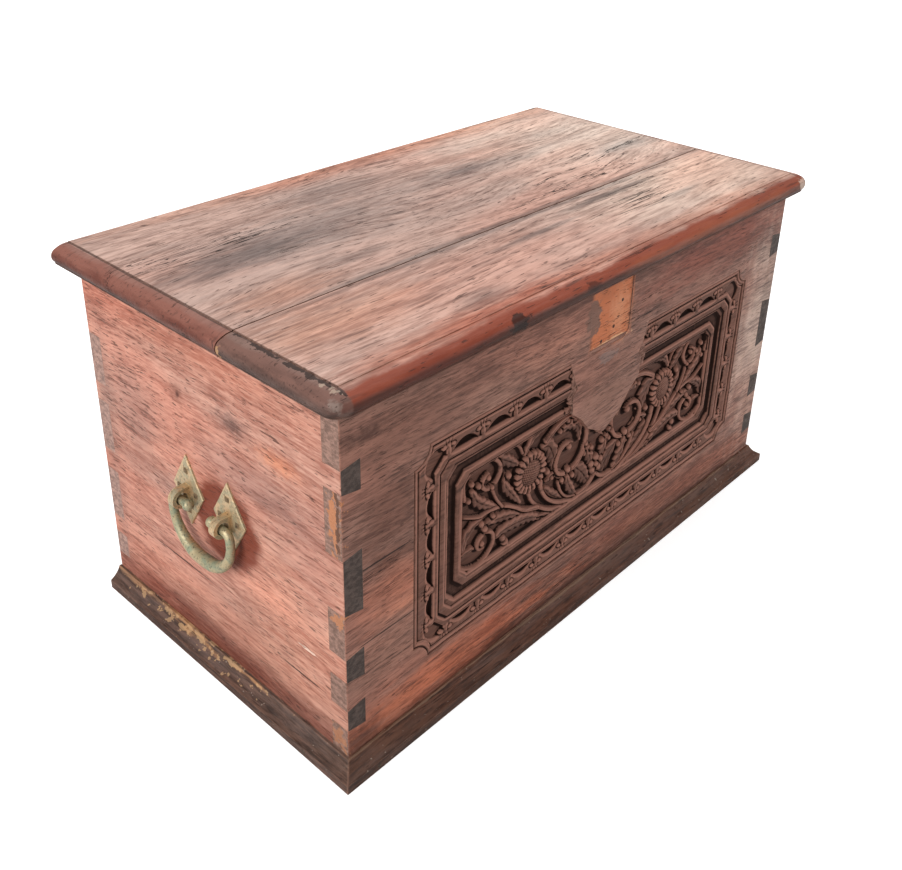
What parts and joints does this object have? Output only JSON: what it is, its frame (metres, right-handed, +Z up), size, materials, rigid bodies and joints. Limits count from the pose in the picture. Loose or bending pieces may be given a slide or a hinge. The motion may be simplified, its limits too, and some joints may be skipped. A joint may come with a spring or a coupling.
{
  "type": "wooden storage chest",
  "caption": "Small dovetailed hardwood chest with a carved sunk panel on the front, a moulded lid on butt hinges, a mitred plinth and a swinging brass bail at each end.",
  "frame": {"origin": "middle of the footprint of the whole chest, on the floor", "axes": "+X along the chest towards its right end seen from the front, -Y out of the carved front, +Z up"},
  "size_m": [0.6798, 0.371, 0.3665],
  "materials": {
    "carved_wood": "old dark hardwood, waxed and worn, matt",
    "end_wood": "old pinkish hardwood, worn, matt",
    "lid_wood": "sun-bleached hardwood top with a darker nosing, matt",
    "plinth_wood": "dark grey-brown hardwood, scuffed, matt",
    "inner_wood": "bare unfinished hardwood, dry, matt",
    "brass": "cast brass, dull and tarnished",
    "iron": "forged iron, dark and slightly rusty"
  },
  "bodies": {
    "carcass": {"front_board": "carved_wood", "back_board": "carved_wood", "left_end_board": "end_wood", "right_end_board": "end_wood", "bottom_board_front": "inner_wood", "bottom_board_middle": "inner_wood", "bottom_board_rear": "inner_wood", "bottom_nails": "iron", "plinth_front": "plinth_wood", "plinth_left": "plinth_wood", "plinth_right": "plinth_wood", "plinth_nails": "iron", "hinge_body_leaf_left": "iron", "hinge_pin_left": "iron", "handle_plate_left_front": "brass", "handle_plate_left_rear": "brass", "handle_nails_left": "brass", "hinge_body_leaf_right": "iron", "hinge_pin_right": "iron", "handle_plate_right_front": "brass", "handle_plate_right_rear": "brass", "handle_nails_right": "brass", "hinge_nails_body": "iron"},
    "lid": {"lid_front_board": "lid_wood", "lid_rear_board": "lid_wood", "lid_batten_left": "inner_wood", "lid_batten_right": "inner_wood", "batten_nails": "iron", "hinge_lid_leaf_left": "iron", "hinge_lid_leaf_right": "iron", "hinge_nails_lid": "iron"},
    "bail_left": {"bail_left": "brass"},
    "bail_right": {"bail_right": "brass"}
  },
  "joints": [
    {"name": "lid_hinge", "type": "hinge", "parent": "carcass", "child": "lid", "pos_m": [0, 0.1758, 0.3467], "axis": [-1, 0, 0], "range_deg": [0, 105]},
    {"name": "bail_left_swing", "type": "hinge", "parent": "carcass", "child": "bail_left", "pos_m": [-0.3305, 0, 0.179], "axis": [0, 1, 0], "range_deg": [-3, 160]},
    {"name": "bail_right_swing", "type": "hinge", "parent": "carcass", "child": "bail_right", "pos_m": [0.3305, 0, 0.179], "axis": [0, -1, 0], "range_deg": [-3, 160]}
  ]
}
